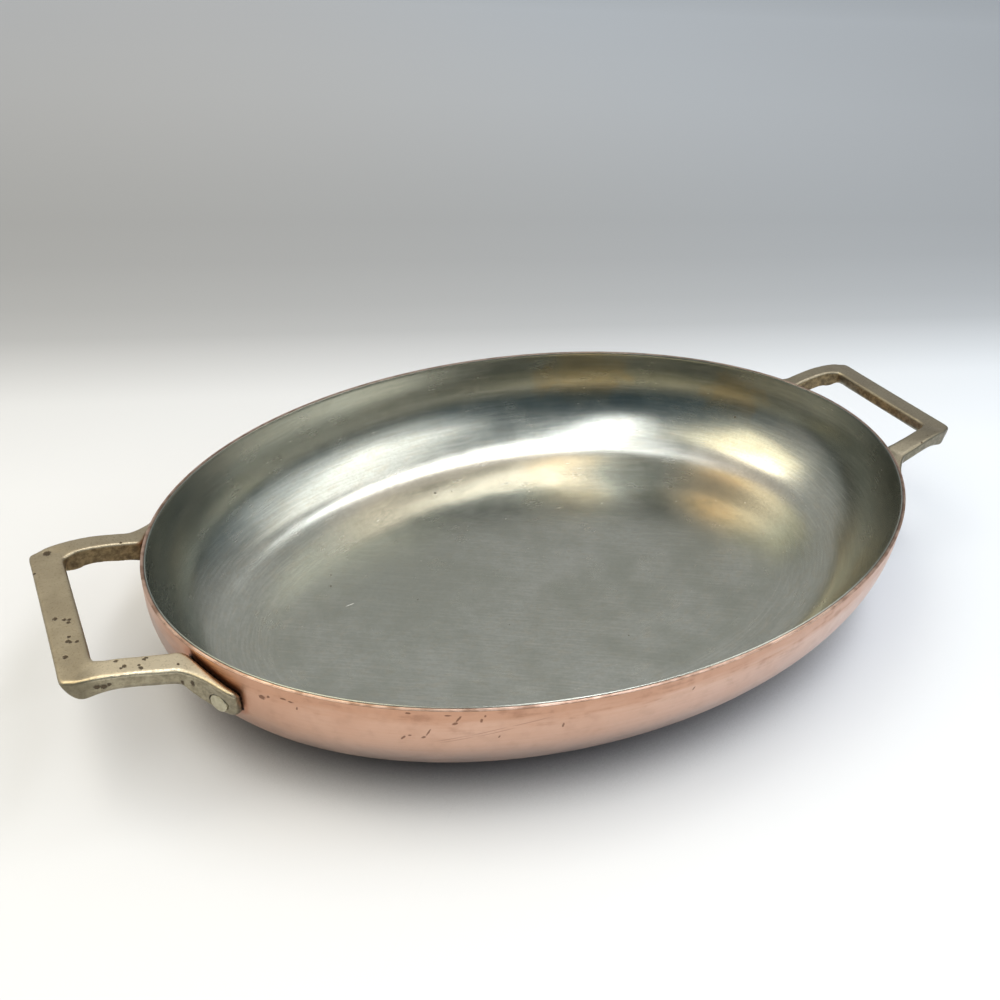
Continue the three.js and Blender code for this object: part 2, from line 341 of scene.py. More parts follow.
class Finish:
    """The nodes of a material, or of the world, while they are written."""

    def __init__(self, owner):
        self.owner = owner
        owner.use_nodes = True
        self.tree = owner.node_tree
        self.tree.nodes.clear()

    def node(self, kind, settings=None, inputs=None, output=0):
        """A new node's output. Inputs are values or numbers, by the socket's name or place."""
        made = self.tree.nodes.new(kind)
        for key, setting in (settings or {}).items():
            setattr(made, key, setting)
        for key, value in (inputs or {}).items():
            if isinstance(value, Value):
                self.tree.links.new(value.socket, made.inputs[key])
            else:
                made.inputs[key].default_value = value
        return Value(self, made.outputs[output]) if made.outputs else None

    def vector(self, operation, one, two, output="Vector"):
        return self.node("ShaderNodeVectorMath", {"operation": operation}, {0: one, 1: two}, output)

    def stretched(self, vector, scale):
        return self.vector("MULTIPLY", vector, scale)

    def scaled(self, vector, factor):
        return self.node("ShaderNodeVectorMath", {"operation": "SCALE"}, {0: vector, "Scale": factor})

    def dot(self, vector, direction):
        return self.vector("DOT_PRODUCT", vector, direction, "Value")

    def distance(self, vector, point):
        return self.vector("DISTANCE", vector, point, "Value")

    def parts(self, vector):
        return [self.node("ShaderNodeSeparateXYZ", None, {0: vector}, axis) for axis in range(3)]

    def joined(self, x, y, z):
        return self.node("ShaderNodeCombineXYZ", None, {0: x, 1: y, 2: z})

    def place(self):
        """The point in the frame of the part, in millimetres."""
        return self.scaled(self.node("ShaderNodeTexCoord", output="Object"), 1 / MM)

    def oval(self):
        """The share of the way round the oval, and the run along the section in metres."""
        turn, run, _ = self.parts(self.node("ShaderNodeUVMap", {"uv_map": "oval"}))
        return turn, run

    def round_oval(self, around, across):
        """A vector that runs round the oval without a seam, its parts stretched by around and across."""
        turn, run = self.oval()
        angle = turn * (2 * math.pi)
        reach = OVAL_REACH * around
        return self.joined(angle.cosine() * reach, angle.sine() * reach, run * (across / MM))

    def painted(self, name):
        """A value stored on the mesh's points."""
        return self.node("ShaderNodeAttribute", {"attribute_name": name}, None, "Fac")

    def mix(self, share, one, two):
        """A colour between two colours; share is a value or a number."""
        inputs = {0: share, 6: opaque(one), 7: opaque(two)}
        return self.node("ShaderNodeMix", {"data_type": "RGBA"}, inputs, 2)

    def ramp(self, value, stops):
        """A grey that changes evenly between stops, which are pairs of a position and a level."""
        made = self.tree.nodes.new("ShaderNodeValToRGB")
        ramp = made.color_ramp
        while len(ramp.elements) < len(stops):
            ramp.elements.new(0.5)
        for element, (position, level) in zip(ramp.elements, stops):
            element.position = position
            element.color = (level, level, level, 1)
        self.tree.links.new(value.socket, made.inputs[0])
        return Value(self, made.outputs[0])

    def cloud(self, vector, size, detail=3.0, roughness=0.55):
        """Noise from about 0.2 to 0.8 with patches of about that size in millimetres."""
        inputs = {"Vector": vector, "Scale": 1 / size, "Detail": detail, "Roughness": roughness}
        return self.node("ShaderNodeTexNoise", None, inputs)

    def patch(self, place, point, radius):
        """1 in the middle of a round patch, 0 at its edge and less outside it."""
        return 1.0 - self.distance(place, point) / radius

    def pits(self, place, spots, ragged):
        """1 inside small pits given as points with a radius, 0 outside them, with uneven edges."""
        inside = reduce(Value.most, [self.patch(place, *spot) for spot in spots])
        return inside.stirred(ragged, PIT_UNEVEN).smooth(-0.05, 0.35)

    def wall_mark(self, turn, height, spot, slant, long, wide):
        """1 in the middle of a mark on the wall, 0 at its edge. Slant is in degrees, up to the right."""
        x, y, z = spot
        angle = math.atan2(y * RIM_END, x * RIM_SIDE) % (2 * math.pi)
        reach = math.hypot(RIM_END * math.sin(angle), RIM_SIDE * math.cos(angle)) / MM
        aside = (turn - angle / (2 * math.pi)) * (2 * math.pi * reach)
        above = height - z
        lean = math.radians(slant)
        along = (aside * math.cos(lean) + above * math.sin(lean)) / long
        across = (above * math.cos(lean) - aside * math.sin(lean)) / wide
        return 1.0 - (along * along + across * across) ** 0.5

    def nick(self, place, start, end, wide):
        """1 in the middle of a thin mark from start to end, 0 at its edge."""
        way = Vector(end) - Vector(start)
        offset = self.vector("SUBTRACT", place, middle_of(start, end))
        along = self.dot(offset, tuple(way.normalized()))
        reach = self.node("ShaderNodeVectorMath", {"operation": "LENGTH"}, {0: offset}, "Value")
        aside = (reach * reach - along * along).most(0.0) ** 0.5
        return 1.0 - ((along / (way.length / 2)) ** 2.0 + (aside / wide) ** 2.0) ** 0.5

    def layered(self, colour, layers):
        """The colour with others laid over it in turn, each by a mask and a strength."""
        for mask, over, strength in layers:
            colour = self.mix(mask * strength, colour, over)
        return colour

    def bumped(self, bumps):
        """A normal from bumps in turn, each a height of 0 to 1, a strength and the height's millimetres."""
        inputs = {}
        for height, strength, reach in bumps:
            inputs.update({"Height": height, "Strength": strength, "Distance": reach * MM})
            inputs["Normal"] = self.node("ShaderNodeBump", None, inputs)
        return inputs["Normal"]

    def surface(self, **inputs):
        """Ends the material; the inputs are the shader's, with _ for a space."""
        sockets = {key.replace("_", " "): opaque(value) for key, value in inputs.items()}
        shader = self.node("ShaderNodeBsdfPrincipled", None, sockets)
        self.node("ShaderNodeOutputMaterial", None, {"Surface": shader})
        return self.owner


def opaque(colour):
    """A colour with its alpha, or the value as it is."""
    if isinstance(colour, tuple) and len(colour) == 3:
        return (*colour, 1)
    return colour


def middle_of(start, end):
    return tuple((a + b) / 2 for a, b in zip(start, end))


def material(name):
    return Finish(bpy.data.materials.new(name))


# Marks of use, in millimetres in the frame of the part
COPPER_SPOTS = (
    # point on the wall, slant in degrees, half length, half width
    ((-150.9, -60.8, 49.7), 10, 1.5, 1.2),
    ((-149.2, -62.6, 50.9), 60, 0.9, 0.6),
    ((-145.4, -66.7, 52.1), 0, 1.5, 0.5),
    ((-143.3, -68.6, 51.6), 0, 1.2, 0.5),
    ((-141.9, -70.1, 49.3), 80, 0.9, 0.4),
    ((-111.7, -92.3, 55.0), 0, 1.1, 0.5),
    ((-112.6, -91.2, 42.8), 55, 1.6, 0.55),
    ((-110.9, -92.4, 44.2), 20, 0.8, 0.5),
    ((-106.8, -94.5, 43.4), 40, 1.1, 0.6),
    ((-105.6, -95.5, 46.2), 68, 2.2, 0.4),
    ((-98.0, -99.4, 50.6), 20, 1.2, 0.7),
    ((-97.0, -99.9, 52.8), 60, 2.1, 0.5),
    ((-90.0, -102.9, 51.8), 88, 1.2, 0.55),
    ((-89.0, -103.3, 53.9), 80, 0.7, 0.4),
    ((-100.2, -98.2, 54.4), 0, 1.3, 0.4),
    ((-83.6, -104.8, 43.2), 70, 0.8, 0.35),
    ((-63.0, -111.5, 46.0), 85, 1.3, 0.5),
    ((-14.5, -119.4, 49.5), 60, 1.1, 0.4),
)
COPPER_SCRATCHES = (
    # both ends
    ((-104.0, -95.6, 40.9), (-92.5, -101.3, 44.6)),
    ((-93.9, -100.7, 44.1), (-80.5, -106.4, 48.3)),
    ((-82.0, -105.9, 47.8), (-66.0, -111.0, 51.3)),
    ((-103.0, -96.2, 40.0), (-90.0, -102.4, 44.1)),
    ((-91.4, -101.9, 43.6), (-78.0, -107.3, 47.6)),
)
LINING_SPECKS = (
    # point, radius
    ((-18.0, 82.9, 3.9), 0.7),
    ((-8.7, 81.6, 3.4), 0.5),
    ((150.4, 51.0, 29.4), 0.8),
    ((-89.4, 44.3, 2.0), 0.5),
    ((-92.2, 36.9, 2.0), 0.6),
    ((28.0, 60.0, 2.0), 0.45),
    ((60.0, 42.0, 2.0), 0.4),
    ((-30.0, -20.0, 2.0), 0.4),
    ((-60.0, 12.0, 2.0), 0.4),
    ((15.0, -48.0, 2.0), 0.45),
)
LINING_NICKS = (
    # both ends
    ((-91.6, 21.0, 2.0), (-86.4, 21.6, 2.0)),
    ((-12.6, 100.8, 13.6), (-12.0, 96.6, 9.8)),
    ((-32.4, 97.4, 12.2), (-31.8, 95.0, 9.9)),
    ((-58.4, 92.2, 12.6), (-57.4, 90.0, 9.9)),
    ((-26.5, 97.5, 11.6), (-24.5, 94.5, 9.0)),
    ((-96.0, 60.0, 3.2), (-94.6, 55.0, 2.2)),
)
BRASS_PITS = (
    # point, radius
    ((-203.0, 34.5, 58.4), 1.7),
    ((-208.9, 24.3, 58.3), 0.7),
    ((-205.8, -3.9, 58.4), 0.95),
    ((-203.0, -5.7, 58.4), 0.8),
    ((-201.5, -6.4, 58.5), 0.8),
    ((-201.9, -7.8, 58.5), 0.8),
    ((-202.9, -15.1, 58.5), 0.7),
    ((-203.6, -17.2, 58.5), 0.9),
    ((-202.9, -18.0, 58.5), 0.7),
    ((-200.9, -18.6, 58.5), 0.75),
    ((-205.5, -24.5, 58.4), 1.0),
    ((-193.5, -31.2, 58.5), 0.8),
    ((-191.1, -33.4, 58.5), 0.8),
    ((-189.1, -36.6, 58.2), 0.9),
    ((-190.3, -37.2, 58.2), 0.6),
    ((-184.3, -38.5, 57.3), 0.9),
    ((-184.6, -37.2, 57.4), 0.6),
    ((-182.5, -34.8, 57.1), 0.8),
    ((-181.6, -34.2, 57.1), 0.6),
    ((-172.6, -39.0, 54.5), 0.55),
    ((-198.7, -39.2, 55.1), 1.1),
    ((-196.6, -39.5, 54.7), 1.2),
    ((-194.9, -39.8, 55.2), 0.8),
    ((-176.9, 33.9, 56.0), 0.6),
    ((185.2, -40.3, 57.1), 0.6),
    ((191.5, -38.0, 58.0), 0.6),
)
BRASS_NICKS = (
    # point with its height shrunk by NICK_SQUASH, radius
    ((-172.6, -42.3, 19.4), 0.6),
    ((-169.7, -44.1, 19.5), 0.7),
)
NICK_SQUASH = (1.0, 1.0, 0.4)
LINING_NICK_HALF_WIDTH = 0.35
SCRATCH_HALF_WIDTH = 0.26
SCRATCH_HALF_SHARE = 0.53  # of the way from end to end, so that the faded ends reach past both
PIT_UNEVEN = 1.4  # how strongly noise eats into the edge of a pit

# Broad patches of the lining: middle and radius, in millimetres
HEATED_PATCHES = (
    ((82.0, 103.0, 43.0), 36.0),
    ((150.0, 56.0, 38.0), 22.0),
)
# A warm pale patch on the floor: a painted highlight
FLOOR_HIGHLIGHT_PATCH = ((124.0, 20.0, 3.0), 42.0)
DULLED_PATCH = ((88.0, 72.0, 6.0), 27.0)
WORN_PATCH = ((-62.0, 28.0, 2.0), 75.0)

# The lining's floor was last wiped at 31 degrees from X: the cosine and the sine, and the strokes' stretch
WIPED_ALONG = 0.857
WIPED_ASIDE = 0.515
WIPED_STRETCH = 0.05

# The lining's turn eases into its floor, in shading only: over a run in metres, by a bump in millimetres
EASE_RUN = 34 * MM
EASE_BUMP = 5.0

# The radius, in millimetres, of the circle that stands for the oval in the noise that runs round it
OVAL_REACH = 150.0

# Painted shade in the gap beside each rivet head, a little above its middle, in millimetres
GAP_SHADE_RADIUS = HEAD_RADIUS / MM + 0.35
GAP_SHADE_EDGE = 0.3
GAP_SHADE_RISE = Vector((0.0, 0.0, 0.35))


def rivet_gap_shades():
    """The middles of the four rings of painted shade round the rivet heads, in millimetres."""
    seat, _ = wall_point(RIVET_SIDE, FOOT_FACE - wall_inset(RIVET_HEIGHT))
    corners = [(end, side) for side in (1, -1) for end in (1, -1)]
    return [
        tuple(Vector((seat.x * end, seat.y * side, RIVET_HEIGHT)) / MM + GAP_SHADE_RISE) for end, side in corners
    ]


# Finishes

# Masks are soft steps: over millimetres where they take x, y or height, and over metres where they take run


def copper_finish():
    """Satin copper: warm toward the rim and the left, with painted shade low on the wall and at the left
    end, and sooty round the feet with painted crevice shade.
    """
    clean = (0.64, 0.42, 0.32)
    warm = (0.54, 0.30, 0.195)
    shaded_low_grey = (0.455, 0.345, 0.30)
    paler = (0.70, 0.535, 0.47)
    shaded = (0.27, 0.19, 0.16)
    smudge_brown = (0.33, 0.17, 0.11)
    tarnish = (0.20, 0.10, 0.06)
    spot_brown = (0.13, 0.06, 0.035)
    scratch_brown = (0.30, 0.15, 0.10)
    heat_red = (0.42, 0.15, 0.07)
    black = (0.02, 0.012, 0.01)
    cut_bright = (0.45, 0.34, 0.29)
    cut_dark = (0.22, 0.15, 0.12)

    finish = material("satin copper")
    place = finish.place()
    x, _, height = finish.parts(place)
    turn, _ = finish.oval()
    broad = finish.cloud(place, 42.0).smooth(0.35, 0.72)
    fine = finish.cloud(place, 5.0, 4.0)
    bands = finish.cloud(finish.round_oval(0.05, 0.35), 1.0, 4.0)
    streaks = finish.cloud(finish.round_oval(0.02, 1.0), 1.0, 2.0)

    # The lower wall is painted darker and greyer: painted shade, standing for the dark reflection of the
    # shadowed floor
    low = height.smooth(40.0, 26.0)
    left = x.smooth(-115.0, -160.0)
    # The left end, by the handle, is painted darker: painted shade
    left_end_shade = x.smooth(-156.0, -167.0)
    right = x.smooth(-70.0, 90.0)
    under_rim = height.stirred(bands, 14.0).smooth(47.0, 54.0)
    cut_rim = height.smooth(56.15, 56.4)
    smudges = bands.stirred(fine, 0.5).smooth(0.55, 0.75) * height.smooth(42.0, 54.0, 0.15, 1.0)
    # Near the castings: reddened tarnish, then black that is partly soot and partly painted shade in the
    # crevice
    grime_and_shade = finish.painted("grime_and_shade")
    reddened = grime_and_shade.stirred(finish.cloud(place, 4.0), 0.5).smooth(0.0, 0.6)
    soot_and_shade = grime_and_shade.stirred(finish.cloud(place, 1.6, 4.0), 0.55).smooth(0.66, 0.88)

    marks = [finish.wall_mark(turn, height, *spot) for spot in COPPER_SPOTS]
    spots = reduce(Value.most, marks).stirred(finish.cloud(place, 0.7), 0.9).smooth(0.0, 0.4)
    marks = []
    for start, end in COPPER_SCRATCHES:
        run = math.dist(start[:2], end[:2])
        rise = end[2] - start[2]
        slant = math.degrees(math.atan2(rise, run))
        half = math.hypot(run, rise) * SCRATCH_HALF_SHARE
        middle = middle_of(start, end)
        marks.append(finish.wall_mark(turn, height, middle, slant, half, SCRATCH_HALF_WIDTH))
    scratched = reduce(Value.most, marks).smooth(0.0, 0.5)

    colour = finish.layered(clean, (
        # mask, colour, strength
        (broad, warm, 0.5),
        # painted shade low on the wall
        (low, shaded_low_grey, 0.8),
        (left, warm, 0.6),
        (right, paler, 0.65),
        # painted shade at the left end
        (left_end_shade, shaded, 0.7),
        (under_rim, warm, 0.75),
        (smudges, smudge_brown, 0.4),
        (fine.smooth(0.42, 0.75), tarnish, 0.12),
        (streaks.smooth(0.35, 0.7), warm, 0.14),
        (spots, spot_brown, 0.75),
        (scratched, scratch_brown, 0.4),
        (reddened, heat_red, 0.6),
        # partly soot, partly painted crevice shade
        (soot_and_shade, black, 0.95),
        (cut_rim, finish.mix(fine.smooth(0.4, 0.65), cut_bright, cut_dark), 0.8),
    ))
    roughness = finish.cloud(place, 12.0, 4.0).smooth(0.3, 0.7, 0.27, 0.38)
    roughness = roughness + streaks * 0.05 + soot_and_shade * 0.3 + smudges * 0.08
    normal = finish.bumped((
        # height, strength, millimetres
        (finish.cloud(place, 26.0, 2.0), 0.10, 1.2),
        (streaks, 0.16, 0.05),
        (spots.most(scratched), 0.5, -0.1),
    ))
    return finish.surface(Base_Color=colour, Metallic=1.0, Roughness=roughness, Normal=normal)


def lining_finish(floor_edge):
    """Rubbed grey lining, with painted shade at its ends and painted highlights on the back of the turn and
    on the floor; floor_edge is the run at which its flat floor begins.
    """
    grey = (0.395, 0.415, 0.39)
    dull = (0.325, 0.335, 0.295)
    wiped_tan = (0.40, 0.37, 0.30)
    upper_brown = (0.30, 0.265, 0.20)
    heat_tan = (0.43, 0.335, 0.20)
    pale_tan = (0.56, 0.53, 0.45)
    shaded = (0.20, 0.225, 0.21)
    turn_highlight_pale = (0.72, 0.655, 0.54)
    floor_highlight_pale = (0.76, 0.665, 0.535)
    dulled_grey = (0.27, 0.27, 0.235)
    grain_dark = (0.22, 0.225, 0.20)
    stroke_pale = (0.62, 0.62, 0.59)
    wipe_pale = (0.60, 0.60, 0.57)
    stain_grey = (0.285, 0.305, 0.27)
    speck_brown = (0.09, 0.075, 0.05)
    bare = (0.85, 0.85, 0.83)

    finish = material("rubbed grey lining")
    place = finish.place()
    x, y, height = finish.parts(place)
    _, run = finish.oval()
    broad = finish.cloud(place, 55.0).smooth(0.35, 0.7)
    mottled = finish.cloud(place, 8.0).smooth(0.35, 0.75)
    grain = finish.cloud(place, 1.5, 1.5)
    brushed = finish.cloud(finish.round_oval(0.05, 1.1), 1.0, 1.5)
    wiped = finish.cloud(finish.round_oval(0.12, 0.5), 1.0, 2.0)
    level = run.smooth(floor_edge - 8 * MM, floor_edge)
    along = (x * WIPED_ALONG - y * WIPED_ASIDE) * WIPED_STRETCH
    across = x * WIPED_ASIDE + y * WIPED_ALONG
    crossed = finish.cloud(finish.joined(along, across, 0.0), 1.0, 1.5) * level

    # The wall and the turn
    heated = reduce(Value.most, [finish.patch(place, *patch) for patch in HEATED_PATCHES])
    heated = heated.stirred(mottled, 0.35).smooth(0.0, 0.6) * height.smooth(24.0, 38.0)
    upper_far = height.smooth(28.0, 42.0) * x.smooth(-60.0, 20.0) * y.smooth(0.0, 50.0)
    far_left = height.smooth(22.0, 36.0) * y.smooth(30.0, 70.0)
    far_left = far_left * x.smooth(10.0, -30.0) * x.smooth(-150.0, -110.0)
    # The two ends are painted darker up the wall: painted shade
    ends = x.smooth(-118.0, -158.0) + x.smooth(132.0, 168.0) * y.smooth(25.0, -15.0)
    ends = ends * height.smooth(12.0, 30.0)
    from_edge = run - floor_edge
    # A warm pale band round the back of the turn, under the name polished: a painted highlight
    polished = from_edge.smooth(-34 * MM, -18 * MM) * from_edge.smooth(4 * MM, -6 * MM)
    polished = polished * y.smooth(20.0, 55.0) * x.smooth(85.0, 45.0) * x.smooth(-95.0, -45.0)
    # painted highlight on the floor
    floor_highlight = finish.patch(place, *FLOOR_HIGHLIGHT_PATCH).smooth(0.0, 0.75)
    dulled = finish.patch(place, *DULLED_PATCH).smooth(0.0, 0.8)

    # The floor, and marks all over
    stained = finish.cloud(place, 26.0).smooth(0.42, 0.68) * level
    worn = finish.patch(place, *WORN_PATCH).stirred(mottled, 0.3).smooth(0.0, 0.8) * level
    strokes = brushed.smooth(0.4, 0.7) * level.smooth(0.0, 1.0, 0.14, 0.05)
    specks = finish.pits(place, LINING_SPECKS, finish.cloud(place, 0.8))
    marks = [finish.nick(place, start, end, LINING_NICK_HALF_WIDTH) for start, end in LINING_NICKS]
    nicks = reduce(Value.most, marks).smooth(0.0, 0.5)

    colour = finish.layered(grey, (
        # mask, colour, strength
        (broad, dull, 0.5),
        (mottled, dull, 0.25),
        (wiped.smooth(0.45, 0.75), wiped_tan, 0.3),
        (upper_far, upper_brown, 0.5),
        (heated, heat_tan, 0.8),
        (far_left, pale_tan, 0.4),
        # painted shade at the ends
        (ends, shaded, 0.85),
        # painted highlight on the back of the turn
        (polished, turn_highlight_pale, 0.85),
        # painted highlight on the floor
        (floor_highlight, floor_highlight_pale, 0.85),
        (dulled, dulled_grey, 0.5),
        (grain.smooth(0.3, 0.7), grain_dark, 0.16),
        (strokes, stroke_pale, 1.0),
        (crossed.smooth(0.4, 0.7), wipe_pale, 0.15),
        (stained.most(worn), stain_grey, 0.45),
        (specks, speck_brown, 0.7),
        (nicks, bare, 0.8),
    ))
    roughness = finish.cloud(place, 18.0).smooth(0.3, 0.7, 0.17, 0.22)
    roughness = roughness + brushed * 0.05 + wiped * 0.05 + nicks * 0.2 + specks * 0.2
    normal = finish.bumped((
        # height, strength, millimetres
        (run.smooth(floor_edge - EASE_RUN, floor_edge), 1.0, EASE_BUMP),
        (finish.cloud(place, 30.0, 2.0), 0.04, 1.0),
        (brushed * level.smooth(0.0, 1.0, 1.0, 0.3), 0.06, 0.05),
        (crossed, 0.07, 0.05),
    ))
    return finish.surface(Base_Color=colour, Metallic=1.0, Roughness=roughness, Normal=normal)


def brass_finish(name, dressed, dull, rubbed):
    """Cast and dressed brass: dull in grey patches, rubbed on the top of the front arm, with painted shade
    on its flanks and near corner, round each rivet head and in the sooty crevice at the copper.
    """
    flank_tarnish_shade_pale = (0.30, 0.27, 0.19)
    flank_tarnish_shade_dark = (0.17, 0.15, 0.10)
    corner_shade_dark = (0.15, 0.13, 0.09)
    skin_pale = (0.37, 0.28, 0.15)
    skin_dark = (0.15, 0.11, 0.065)
    grain_dark = (0.10, 0.075, 0.045)
    pit_brown = (0.06, 0.04, 0.025)
    gap_shade_black = (0.03, 0.022, 0.015)
    heat_brown = (0.15, 0.085, 0.04)
    black = (0.015, 0.011, 0.008)

    finish = material(name)
    place = finish.place()
    x, y, _ = finish.parts(place)
    along = x.absolute()
    patches = finish.cloud(place, 9.0, 4.0).smooth(0.35, 0.7)
    mottled = finish.cloud(place, 2.6, 4.0)
    grain = finish.cloud(place, 0.9, 2.0, 0.6)
    ragged = finish.cloud(place, 0.5)
    flank = finish.painted("flank")
    grime_and_shade = finish.painted("grime_and_shade")

    near_arm = y.smooth(-26.0, -34.0) * along.smooth(203.0, 195.0)
    near_arm = near_arm * along.smooth(160.0, 178.0, 0.25, 0.75)
    # The end face at the near outer corner is painted darker still: painted shade
    corner = along.smooth(197.0, 204.0) * y.smooth(-28.0, -36.0) * flank.smooth(0.1, 0.5)
    # Faces that turn away from overhead are painted darker than the tops: their tarnish together with
    # painted shade
    side = flank.stirred(mottled, 0.5).smooth(0.35, 0.9)
    rough_skin = finish.painted("inward").stirred(finish.cloud(place, 3.0, 4.0), 0.6).smooth(0.3, 0.8)
    nicked = finish.pits(finish.stretched(place, NICK_SQUASH), BRASS_NICKS, ragged)
    pits = finish.pits(place, BRASS_PITS, ragged).most(nicked)
    from_head = reduce(Value.least, [finish.distance(place, middle) for middle in rivet_gap_shades()])
    # A dark ring round each rivet head, set a little high: painted shade in the gap
    gap_shade = from_head.stirred(ragged, 0.5).smooth(GAP_SHADE_RADIUS, GAP_SHADE_RADIUS - GAP_SHADE_EDGE)
    # Near the copper: browned tarnish, then black that is partly soot and partly painted shade in the
    # crevice
    browned = grime_and_shade.stirred(mottled, 0.5).smooth(0.25, 0.85)
    soot_and_shade = grime_and_shade.stirred(mottled, 0.35).smooth(0.58, 0.85)

    colour = finish.layered(dressed, (
        # mask, colour, strength
        (patches, dull, 0.45),
        (mottled.smooth(0.45, 0.75), dull, 0.25),
        (near_arm, rubbed, 1.0),
        # flanks: tarnish together with painted shade
        (side, finish.mix(mottled.smooth(0.35, 0.65), flank_tarnish_shade_pale, flank_tarnish_shade_dark), 0.8),
        # painted shade on the near corner
        (corner, corner_shade_dark, 0.6),
        (rough_skin, finish.mix(mottled.smooth(0.35, 0.7), skin_pale, skin_dark), 0.85),
        (grain.smooth(0.5, 0.72), grain_dark, 0.28),
        (pits, pit_brown, 0.85),
        # painted shade round the rivet heads
        (gap_shade, gap_shade_black, 0.85),
        (browned, heat_brown, 0.35),
        # partly soot, partly painted crevice shade
        (soot_and_shade, black, 0.96),
    ))
    roughness = grain.smooth(0.3, 0.7, 0.33, 0.45) + rough_skin * 0.2 + soot_and_shade * 0.2 + side * 0.05
    normal = finish.bumped((
        # height, strength, millimetres
        (finish.cloud(place, 6.0, 2.0), 0.18, 0.5),
        (mottled, 0.20, 0.12),
        (grain, 0.30, 0.08),
        (pits, 0.8, -0.25),
    ))
    return finish.surface(Base_Color=colour, Metallic=1.0, Roughness=roughness, Normal=normal)


def rivet_finish():
    """Softly tarnished rivet heads."""
    polished = (0.49, 0.455, 0.335)
    tarnished = (0.32, 0.285, 0.18)
    finish = material("rivet brass")
    place = finish.place()
    patches = finish.cloud(place, 1.5, 4.0).smooth(0.35, 0.7)
    colour = finish.layered(polished, ((patches, tarnished, 0.4),))
    roughness = patches.smooth(0.0, 1.0, 0.36, 0.46)
    normal = finish.bumped(((finish.cloud(place, 1.0, 4.0), 0.3, 0.15),))
    return finish.surface(Base_Color=colour, Metallic=1.0, Roughness=roughness, Normal=normal)


# Pieces

# How far the soot and the painted crevice shade reach from where a casting touches the copper, which is
# always past COPPER_END along X
GRIME_AND_SHADE_REACH = 3.2 * MM
COPPER_END = 100 * MM

# How fast a face stops counting as a flank as it turns upward
FLANK_LEAN = 1.6

BRASS_COLOURS = {
    # material, and its colours where dressed, dull and rubbed
    "left": ("cast brass", (0.425, 0.365, 0.26), (0.295, 0.245, 0.168), (0.71, 0.62, 0.455)),
    "right": ("browned cast brass", (0.285, 0.255, 0.19), (0.20, 0.17, 0.125), (0.20, 0.18, 0.135)),
}


def paint(made, name, values):
    """Stores a value from 0 to 1 on the mesh's points."""
    layer = made.data.attributes.new(name, "FLOAT", "POINT")
    layer.data.foreach_set("value", np.asarray(values, np.float32))


def read_points(made, name):
    """The points' places as "co", or their directions as "normal"."""
    values = np.zeros(len(made.data.vertices) * 3, np.float32)
    made.data.vertices.foreach_get(name, values)
    return values.reshape(-1, 3)


def nearness(points, other, reach):
    """1 where a point touches the other piece, down to 0 at the distance reach."""
    tree = BVHTree.FromObject(other, bpy.context.evaluated_depsgraph_get())
    near = []
    for point in points:
        found = tree.find_nearest(Vector(point), reach)
        near.append(0.0 if found[3] is None else 1 - found[3] / reach)
    return np.array(near)


def paint_casting(casting, copper):
    """Stores how near the copper is, how far a face looks into the window, and how much it is a flank."""
    points = read_points(casting, "co")
    normals = read_points(casting, "normal")
    upward = np.clip(normals[:, 2], 0, 1)
    window = np.stack([np.sign(points[:, 0]) * WINDOW_MIDDLE - points[:, 0], -points[:, 1]], 1)
    window /= np.linalg.norm(window, axis=1)[:, None]
    inward = (normals[:, :2] * window).sum(1) * (1 - upward)
    paint(casting, "grime_and_shade", nearness(points, copper, GRIME_AND_SHADE_REACH))
    paint(casting, "inward", np.clip(inward, 0, 1))
    paint(casting, "flank", np.clip(1 - FLANK_LEAN * upward, 0, 1))


def copper_grime_and_shade(copper, castings):
    """How near the castings are to each point of the copper."""
    points = read_points(copper, "co")
    grime_and_shade = np.zeros(len(points))
    for end, casting in castings:
        close = points[:, 0] * end > COPPER_END
        grime_and_shade[close] = nearness(points[close], casting, GRIME_AND_SHADE_REACH)
    return grime_and_shade


def dress(made, node, finished):
    """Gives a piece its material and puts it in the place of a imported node."""
    made.data.materials.clear()
    made.data.materials.append(finished)
    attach(made, "root")
    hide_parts(node)


copper, _ = shell("copper_shell", 0, COPPER_THICKNESS, RIM_OUTER_ROUND, RIM_INNER_ROUND)
lining, floor_edge = shell(
    "lining_shell", LINING_DEPTH, LINING_DEPTH + LINING_THICKNESS, RIM_INNER_ROUND, RIM_INNER_ROUND
)
handle_left = softened("cast_handle_left", "handle_left")
handle_right = softened("cast_handle_right", "handle_right")
paint_casting(handle_left, copper)
paint_casting(handle_right, copper)
paint(copper, "grime_and_shade", copper_grime_and_shade(copper, ((-1, handle_left), (1, handle_right))))

dress(handle_left, "handle_left", brass_finish(*BRASS_COLOURS["left"]))
dress(handle_right, "handle_right", brass_finish(*BRASS_COLOURS["right"]))
dress(copper, "copper_body", copper_finish())
dress(lining, "inner_lining", lining_finish(floor_edge))
rivet_brass = rivet_finish()
for end, end_name in ((1, "right"), (-1, "left")):
    for side, side_name in ((1, "back"), (-1, "front")):
        name = f"rivet_{end_name}_{side_name}"
        dress(rivet(f"dressed_{name}", end, side), name, rivet_brass)


# Studio, in metres

FLOOR_HALF = 12.0
BACKWARD = (0.301, 0.953, 0.0)  # square to the line where the painted backdrop shade begins
SIDEWARD = (0.953, -0.301, 0.0)
SWEEP_STOPS = (
    # distance behind the pan's middle, and how pale the flat floor is painted there: darker in a band as
    # painted shade of the backdrop's rise, paler further off to make up for the lamps' falloff
    (0.10, 0.72),
    (0.19, 0.66),
    (0.235, 0.53),
    (0.275, 0.42),
    (0.32, 0.38),
    (0.40, 0.355),
    (0.49, 0.36),
    (0.60, 0.40),
    (0.74, 0.46),
    (0.92, 0.54),
    (1.16, 0.63),
    (1.40, 0.71),
    (1.60, 0.77),
)
